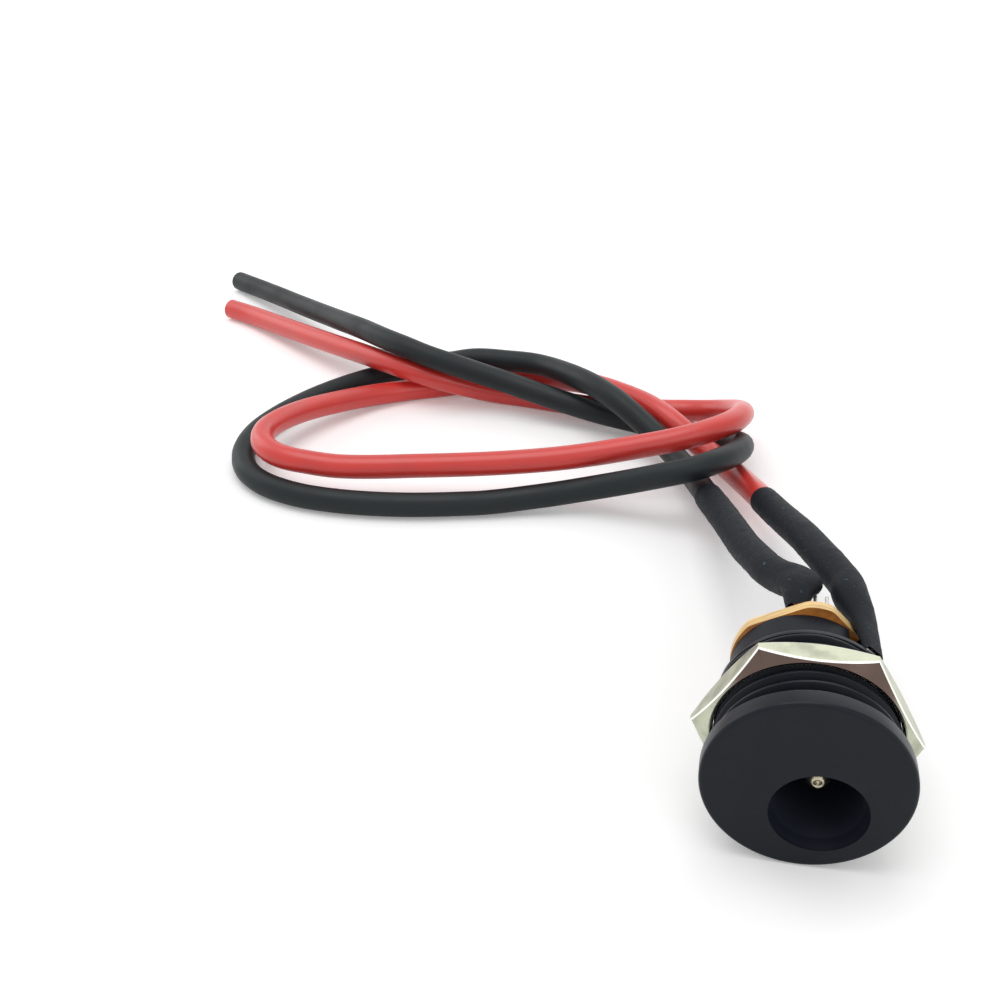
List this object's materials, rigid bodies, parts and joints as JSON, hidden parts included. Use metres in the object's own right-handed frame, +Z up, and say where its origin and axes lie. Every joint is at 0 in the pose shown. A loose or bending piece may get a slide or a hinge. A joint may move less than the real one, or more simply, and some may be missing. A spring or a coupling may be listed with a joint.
{
  "type": "panel-mount barrel power socket",
  "caption": "Panel-mount barrel power socket with an off-centre plug bore, a hex clamping nut on its threaded barrel, and red and black leads soldered to its rear lugs in shrunk sleeves",
  "frame": {"origin": "on the barrel's axis, on the rear face of the flange where it seats on a panel", "axes": "+Y along the barrel to the rear, the socket's mouth facing -Y, +Z up from the table the socket lies on"},
  "size_m": [0.0812, 0.0909, 0.014],
  "materials": {
    "moulding": "fine moulded surface, dark grey",
    "nickel": "nickel-plated brass, satin",
    "pin_brass": "turned and plated",
    "laminate": "amber laminate, pale cut edge",
    "tinned": "tinned sheet brass",
    "red_insulation": "smooth soft insulation",
    "black_insulation": "smooth soft insulation",
    "copper": "twisted bare strands",
    "solder": "bright solder",
    "sleeve": "matt shrunk tubing"
  },
  "bodies": {
    "jack": {"housing": "moulding", "center_pin": "pin_brass", "rear_plate": "laminate", "pin_lug": "tinned", "side_contact": "tinned", "switch_contact": "tinned", "red_wire": "red_insulation", "black_wire": "black_insulation", "red_strands": "copper", "black_strands": "copper", "red_solder": "solder", "black_solder": "solder", "red_sleeve": "sleeve", "black_sleeve": "sleeve"},
    "nut": {"hex_nut": "nickel"}
  },
  "joints": [
    {"name": "nut_travel", "type": "slide", "parent": "jack", "child": "nut", "axis": [0, 1, 0], "range_m": [-0.0031, 0.0023]}
  ]
}
